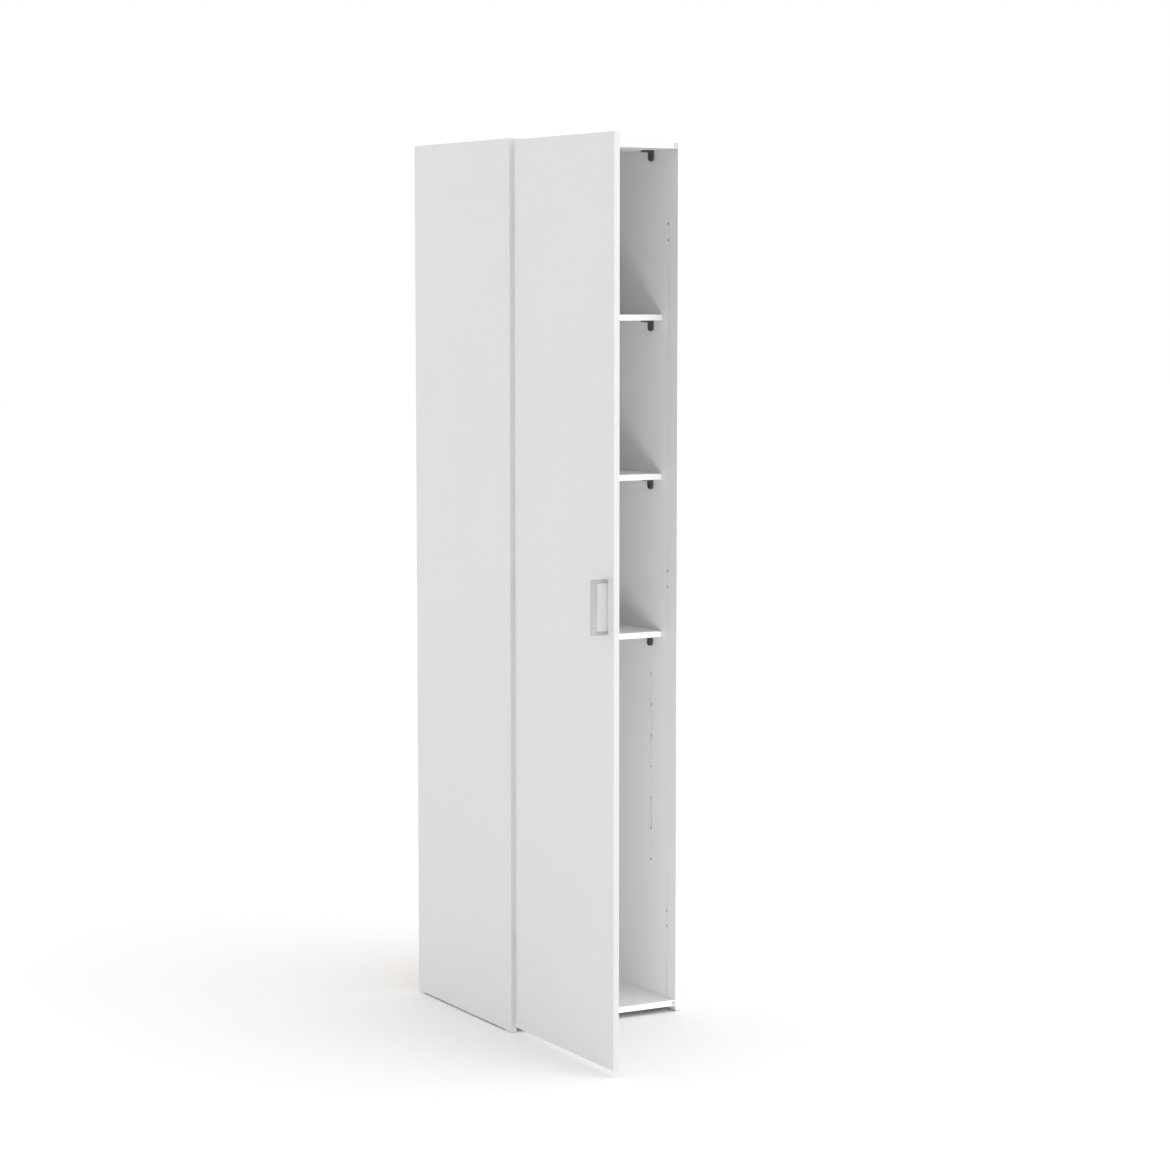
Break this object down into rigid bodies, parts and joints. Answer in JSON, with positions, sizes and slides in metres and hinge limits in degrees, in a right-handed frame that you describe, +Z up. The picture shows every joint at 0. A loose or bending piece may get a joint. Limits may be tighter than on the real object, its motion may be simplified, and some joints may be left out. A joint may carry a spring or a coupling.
{
  "type": "tall storage cabinet",
  "caption": "Tall, narrow white cupboard for storage, with one full-height door on concealed hinges, a bow handle, fixed shelves and a tall open bay below them.",
  "frame": {"origin": "on the floor, at the centre of the whole part's box with the door standing open at 90 degrees: 14 mm left of the cabinet's own centre line and 8.5 mm behind its front edges", "axes": "+X to the right as seen from the front, away from the hinges; +Y to the back; +Z up. The door hangs on the left and, at rest, reaches forward along -Y"},
  "size_m": [0.418, 0.811, 1.754],
  "materials": {
    "white_board": "satin white melamine on particleboard, with matching edge strips",
    "back_board": "thin hardboard, white on the inside and brown on the back",
    "white_plastic": "smooth white moulded plastic",
    "dark_plastic": "dark grey moulded plastic, faintly grained",
    "soft_pad": "soft clear-grey silicone pad",
    "zinc_steel": "bright zinc plating",
    "nickel_steel": "nickel-plated pressed steel",
    "satin_metal": "satin brushed along its length",
    "beech": "fluted beech dowel, bare"
  },
  "bodies": {
    "cabinet": {"side_closing": "white_board", "side_hinged": "white_board", "top_panel": "white_board", "bottom_panel": "white_board", "back_panel": "back_board", "shelf_low": "white_board", "shelf_mid": "white_board", "shelf_high": "white_board", "supports_low": "dark_plastic", "supports_mid": "dark_plastic", "supports_high": "dark_plastic", "supports_top": "dark_plastic", "support_screws": "zinc_steel", "shelf_screws": "zinc_steel", "panel_dowels": "beech", "cam_locks": "zinc_steel", "cam_bolts": "zinc_steel", "glides": "white_plastic", "door_bumpers": "soft_pad", "wall_bracket": "zinc_steel", "wall_bracket_screws": "zinc_steel", "hinge_plates": "nickel_steel", "hinge_plate_screws": "nickel_steel", "hinge_arms": "nickel_steel"},
    "hinge_link_set": {"hinge_links": "nickel_steel"},
    "door": {"door_panel": "white_board", "hinge_cups": "nickel_steel", "hinge_knuckles": "nickel_steel", "hinge_cup_screws": "nickel_steel", "handle_grip": "satin_metal", "handle_posts": "satin_metal", "handle_screws": "zinc_steel"}
  },
  "joints": [
    {"name": "door_swing", "type": "hinge", "parent": "cabinet", "child": "door", "pos_m": [-0.17575, -0.02275, 0.8825], "axis": [0, 0, 1], "range_deg": [-17, 90]},
    {"name": "hinge_link_turn", "type": "hinge", "parent": "cabinet", "child": "hinge_link_set", "pos_m": [-0.17575, -0.02275, 0.8825], "axis": [0, 0, 1], "range_deg": [-8.6, 45.1]}
  ],
  "couplings": [
    {"joint": "hinge_link_turn", "follows": "door_swing", "ratio": 0.5}
  ]
}
